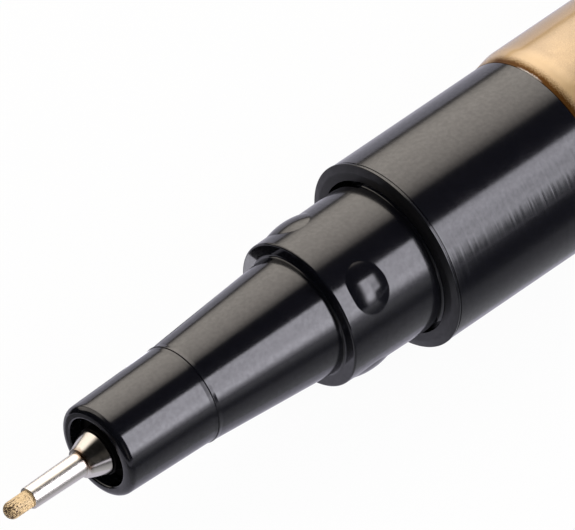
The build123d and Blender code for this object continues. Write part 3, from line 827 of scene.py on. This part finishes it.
white = Finish("white_surface")
white.give(Base_Color=FLOOR_WHITE, Roughness=0.9, Specular_IOR_Level=0.0)
rays, shown = seen(white)
glow = white.add("ShaderNodeEmission")
white.feed(glow.inputs["Color"], white.blend(rays["Is Camera Ray"], FLOOR_IN_GLOSS, (1, 1, 1, 1)))
both = white.add("ShaderNodeMixShader")
white.feed(both.inputs["Fac"], white.math("MULTIPLY", shown, FLOOR_GLOW))
white.feed(both.inputs[1], white.shader.outputs["BSDF"])
white.feed(both.inputs[2], glow.outputs["Emission"])
white.feed(white.nodes["Material Output"].inputs["Surface"], both.outputs["Shader"])
floor.data.materials.append(white.material)
world = bpy.data.worlds.new("white_room")
bpy.context.scene.world = world
world.use_nodes = True
room = NodeBench(world.node_tree)
room_light = room.nodes["Background"].inputs
room.feed(room_light["Color"], (1, 1, 1, 1))
room.feed(room_light["Strength"], room.span(seen(room)[1], 0, 1, ROOM_LIGHT, 1))

# Lights: a large warm softbox behind the marker and a smaller cool one in front of it, as a
# photographer sets up for black plastic. Black and glowing cards stand round them and lie on the
# floor, and only the gloss of the marker shows these. A glowing sheet on the near side's floor is a
# painted shadow of the marker, darkest a little way out from it.
ARCH_STEPS = 32
LIGHT_DISTANCE = 0.7
CARD_DISTANCE = 0.74
TIP_CARD_DISTANCE = 0.72
FRONT_FLAG_SIZE = 1.6
FRONT_FLAG_AHEAD = 3.4
FRONT_FLAG_SUNK = 0.3  # share of its height below the axis
SHEET_HEIGHT = 0.2 * MM  # cards on the floor lie just above it
CARD_BLACK = (0.01, 0.01, 0.01, 1)
WARM = (1, 0.92, 0.835, 1)
COOL = (0.925, 0.91, 1, 1)
FLOOR_SHADOW_TINT = (0.94, 0.94, 1, 1)
focus = Vector((bead_front, 0, AXIS_Z))


def panel(name, bent):
    """Grid of faces whose points go where bent(share along, share across) says, as a stage piece."""
    bpy.ops.object.select_all(action="DESELECT")
    bpy.ops.mesh.primitive_grid_add(x_subdivisions=1, y_subdivisions=ARCH_STEPS, size=1)
    piece = bpy.context.object
    piece.name = name
    for vertex in piece.data.vertices:
        vertex.co = bent(vertex.co.x + 0.5, vertex.co.y + 0.5)
    piece.visible_camera = False
    piece.visible_shadow = False
    return piece


def arch(name, distance, first, last, front_lean, rear_lean):
    """Panel about the axis, between two angles from straight up towards -Y and two leans to +X."""
    def bent(along, across):
        angle = radians(first + (last - first) * across)
        lean = radians(front_lean + (rear_lean - front_lean) * along)
        return focus + Vector((tan(lean), -sin(angle), cos(angle))) * distance
    return panel(name, bent)


def only_in_gloss(piece):
    """The panel shows in reflections and lights nothing."""
    piece.visible_diffuse = False
    piece.visible_transmission = False


def level_curve(light, place, levels):
    """Strength at a place across the panel, from levels (share across, strength)."""
    top = max(level for share, level in levels)
    curve = light.add("ShaderNodeFloatCurve")
    points = curve.mapping.curves[0].points
    points[0].location = (levels[0][0], levels[0][1] / top)
    points[1].location = (levels[-1][0], levels[-1][1] / top)
    for share, level in levels[1:-1]:
        points.new(share, level / top)
    curve.mapping.update()
    light.feed(curve.inputs["Value"], place)
    return light.math("MULTIPLY", curve.outputs["Value"], top)


def lit(piece, colour, levels, fade, rear_levels=None, rear_from=0.0, rear_full=1.0, slant=0.0):
    """Panel glows with levels (share across, strength) and fades at both ends along its length.

    Rear levels take over between two shares along it, where they also move across by the slant.
    """
    light = Finish(piece.name + "_light")
    share = light.add("ShaderNodeSeparateXYZ")
    light.feed(share.inputs["Vector"], light.nodes["Texture Coordinate"].outputs["UV"])
    along, across = share.outputs["X"], share.outputs["Y"]
    level = level_curve(light, across, levels)
    if rear_levels:
        shift = light.span(along, rear_from, 2 * rear_full - rear_from, 0, 2 * slant)
        behind = level_curve(light, light.math("ADD", across, shift), rear_levels)
        change = light.math("SUBTRACT", behind, level)
        rear_share = light.span(along, rear_from, rear_full, 0, 1)
        level = light.math("ADD", level, light.math("MULTIPLY", rear_share, change))
    from_middle = light.math("ABSOLUTE", light.math("SUBTRACT", along, 0.5))
    inside = light.span(from_middle, 0.5 - fade, 0.5, 1, 0)
    glow = light.add("ShaderNodeEmission")
    light.feed(glow.inputs["Color"], colour)
    light.feed(glow.inputs["Strength"], light.math("MULTIPLY", level, inside))
    light.feed(light.nodes["Material Output"].inputs["Surface"], glow.outputs["Emission"])
    light.nodes.remove(light.shader)
    piece.data.materials.append(light.material)


lit(arch("far_softbox", LIGHT_DISTANCE, -92, -2, 4, 48), WARM,
    [(0, 0.1), (0.06, 0.2), (0.09, 0.6), (0.125, 1.3), (0.24, 2.4), (0.38, 3.1), (0.51, 3.3), (0.65, 3.3),
     (0.79, 2.8), (0.92, 1.5), (1, 0.3)], fade=0.12)
lit(arch("near_softbox", LIGHT_DISTANCE, 36, 94, 11, 44), COOL,
    [(0, 6.6), (0.45, 6.3), (0.68, 7.3), (0.79, 5.0), (0.88, 2.2), (1, 1.0)], fade=0.14,
    rear_levels=[(0, 3.2), (0.18, 3.8), (0.38, 5.8), (0.6, 3.9), (0.8, 4.9), (0.87, 1.9),
                 (0.93, 0.2), (1, 0.1)], rear_from=0.41, rear_full=0.46, slant=0.12)
black_card = Finish("black_card")
black_card.give(Base_Color=CARD_BLACK, Specular_IOR_Level=0.0)


def front_card(along, across):
    """Point of the card that closes the tent in front of the tip."""
    sideways = FRONT_FLAG_SIZE * (0.5 - along)
    return focus + Vector((-FRONT_FLAG_AHEAD, sideways, FRONT_FLAG_SIZE * (across - FRONT_FLAG_SUNK)))


def floor_card(name, near, far, front, rear, slope=0.0):
    """Card on the floor between two distances towards +Y and two places; its rear edge may slope."""
    def bent(along, across):
        away = near + (far - near) * along
        end = rear + (away - near) * slope
        return Vector((front + (end - front) * across, away, SHEET_HEIGHT))
    return panel(name, bent)


snap_sheet_front = snap_front - 5.1 * MM
black_cards = (
    arch("near_tent", CARD_DISTANCE, -2, 94, -78, 65),
    arch("far_flag", CARD_DISTANCE, -95, -2, -78, 4),
    panel("front_flag", front_card),
    floor_card("snap_flag", 4 * MM, 11 * MM, snap_front - 14 * MM, snap_sheet_front),
    floor_card("far_floor_flag", 12 * MM, 1.0, -1.0, nose_front - 4 * MM, slope=0.15),
    floor_card("near_floor_flag", -1.0, 12 * MM, -1.0, -0.1),
)
for card in black_cards:
    only_in_gloss(card)
    card.data.materials.append(black_card.material)
glowing_cards = (
    (arch("tip_far_card", TIP_CARD_DISTANCE, -95, -14, -30, 2), WARM,
     [(0, 1.0), (0.3, 1.4), (0.75, 1.35), (0.9, 0.6), (1, 0.1)]),
    (arch("tip_near_card", TIP_CARD_DISTANCE, 45, 94, -40, -20), WARM,
     [(0, 0.05), (0.45, 0.25), (1, 0.5)]),
    (floor_card("nose_flag", 4 * MM, 11 * MM, -0.1, nose_front - 3.2 * MM), COOL,
     [(0, 0.2), (1, 0.2)]),
    (floor_card("snap_sheet", 8 * MM, 11 * MM, snap_sheet_front, snap_front - 3.2 * MM), COOL,
     [(0, 2.5), (1, 2.5)]),
    (floor_card("collar_flag", 7.5 * MM, 12.2 * MM, snap_front - 2.6 * MM, snap_front + 2.4 * MM), COOL,
     [(0, 0.04), (0.5, 0.06), (0.7, 0.2), (0.85, 0.4), (1, 0.5)]),
)
for card, colour, levels in glowing_cards:
    only_in_gloss(card)
    lit(card, colour, levels, fade=0.001)
SHEET_FIRST = radians(92)
SHEET_LAST = radians(162)
SIDE_HEIGHT = 6.5 * MM
SIDE_REACH = 2.8 * MM
SHEET_FRONT = nose_front - 20 * MM
SHEET_REAR = 0.6
MIRRORED_LEAN = tan(radians(28.7))  # how far the camera's line leans to +X off the marker's side


def on_floor(along, across):
    """Point of a floor sheet; the marker's side looks down at it at an angle from straight up."""
    angle = SHEET_FIRST + (SHEET_LAST - SHEET_FIRST) * across
    away = SIDE_REACH + SIDE_HEIGHT * tan(pi - angle)
    ahead = MIRRORED_LEAN * SIDE_HEIGHT / cos(pi - angle)
    return Vector((SHEET_FRONT + (SHEET_REAR - SHEET_FRONT) * along + ahead, -away, SHEET_HEIGHT))


# painted shadow: a sheet on the near side's floor, seen only in the gloss, darkest some way out from the
# marker and darker still beside the collar
floor_shadow_sheet = panel("painted_floor_shadow", on_floor)
only_in_gloss(floor_shadow_sheet)
lit(floor_shadow_sheet, FLOOR_SHADOW_TINT,
    [(0, 1.0), (0.1, 0.57), (0.19, 0.25), (0.28, 0.13), (0.44, 0.3), (0.61, 0.38), (0.79, 0.46), (1, 0.5)],
    fade=0.01,
    rear_levels=[(0, 0.15), (0.1, 0.05), (0.28, 0.05), (0.44, 0.26), (0.61, 0.36), (0.79, 0.46), (1, 0.5)],
    rear_from=(collar_front - 2 * MM - SHEET_FRONT) / (SHEET_REAR - SHEET_FRONT),
    rear_full=(collar_front - SHEET_FRONT) / (SHEET_REAR - SHEET_FRONT))

# Camera: it looks down past the tip with a long lens, at the angle and in the frame of the
# photograph, where the collar's front edge lies at a measured point and scale.
IMAGE_WIDTH = 575
IMAGE_SCALE = 18.18 / MM  # pixels of the photograph per metre at the collar
COLLAR_IN_IMAGE = (386.45, 255.85)
IMAGE_MIDDLE = (287.5, 265.0)
AZIMUTH = radians(-43.4)
ELEVATION = radians(45.72)
LENS = 1500.0
camera_data = bpy.data.cameras.new("camera")
camera_data.lens = LENS
camera_data.clip_end = 100
camera = bpy.data.objects.new("camera", camera_data)
bpy.context.scene.collection.objects.link(camera)
back = Vector((sin(AZIMUTH) * cos(ELEVATION), -cos(AZIMUTH) * cos(ELEVATION), sin(ELEVATION)))
right = Vector((cos(AZIMUTH), sin(AZIMUTH), 0))
up = back.cross(right)
shift_right = (COLLAR_IN_IMAGE[0] - IMAGE_MIDDLE[0]) / IMAGE_SCALE
shift_up = (IMAGE_MIDDLE[1] - COLLAR_IN_IMAGE[1]) / IMAGE_SCALE
distance = IMAGE_WIDTH / IMAGE_SCALE * LENS / camera_data.sensor_width
camera.location = focus - right * shift_right - up * shift_up + back * distance
camera.rotation_euler = back.to_track_quat("Z", "Y").to_euler()
bpy.context.scene.camera = camera
bpy.context.scene.view_settings.view_transform = "Standard"
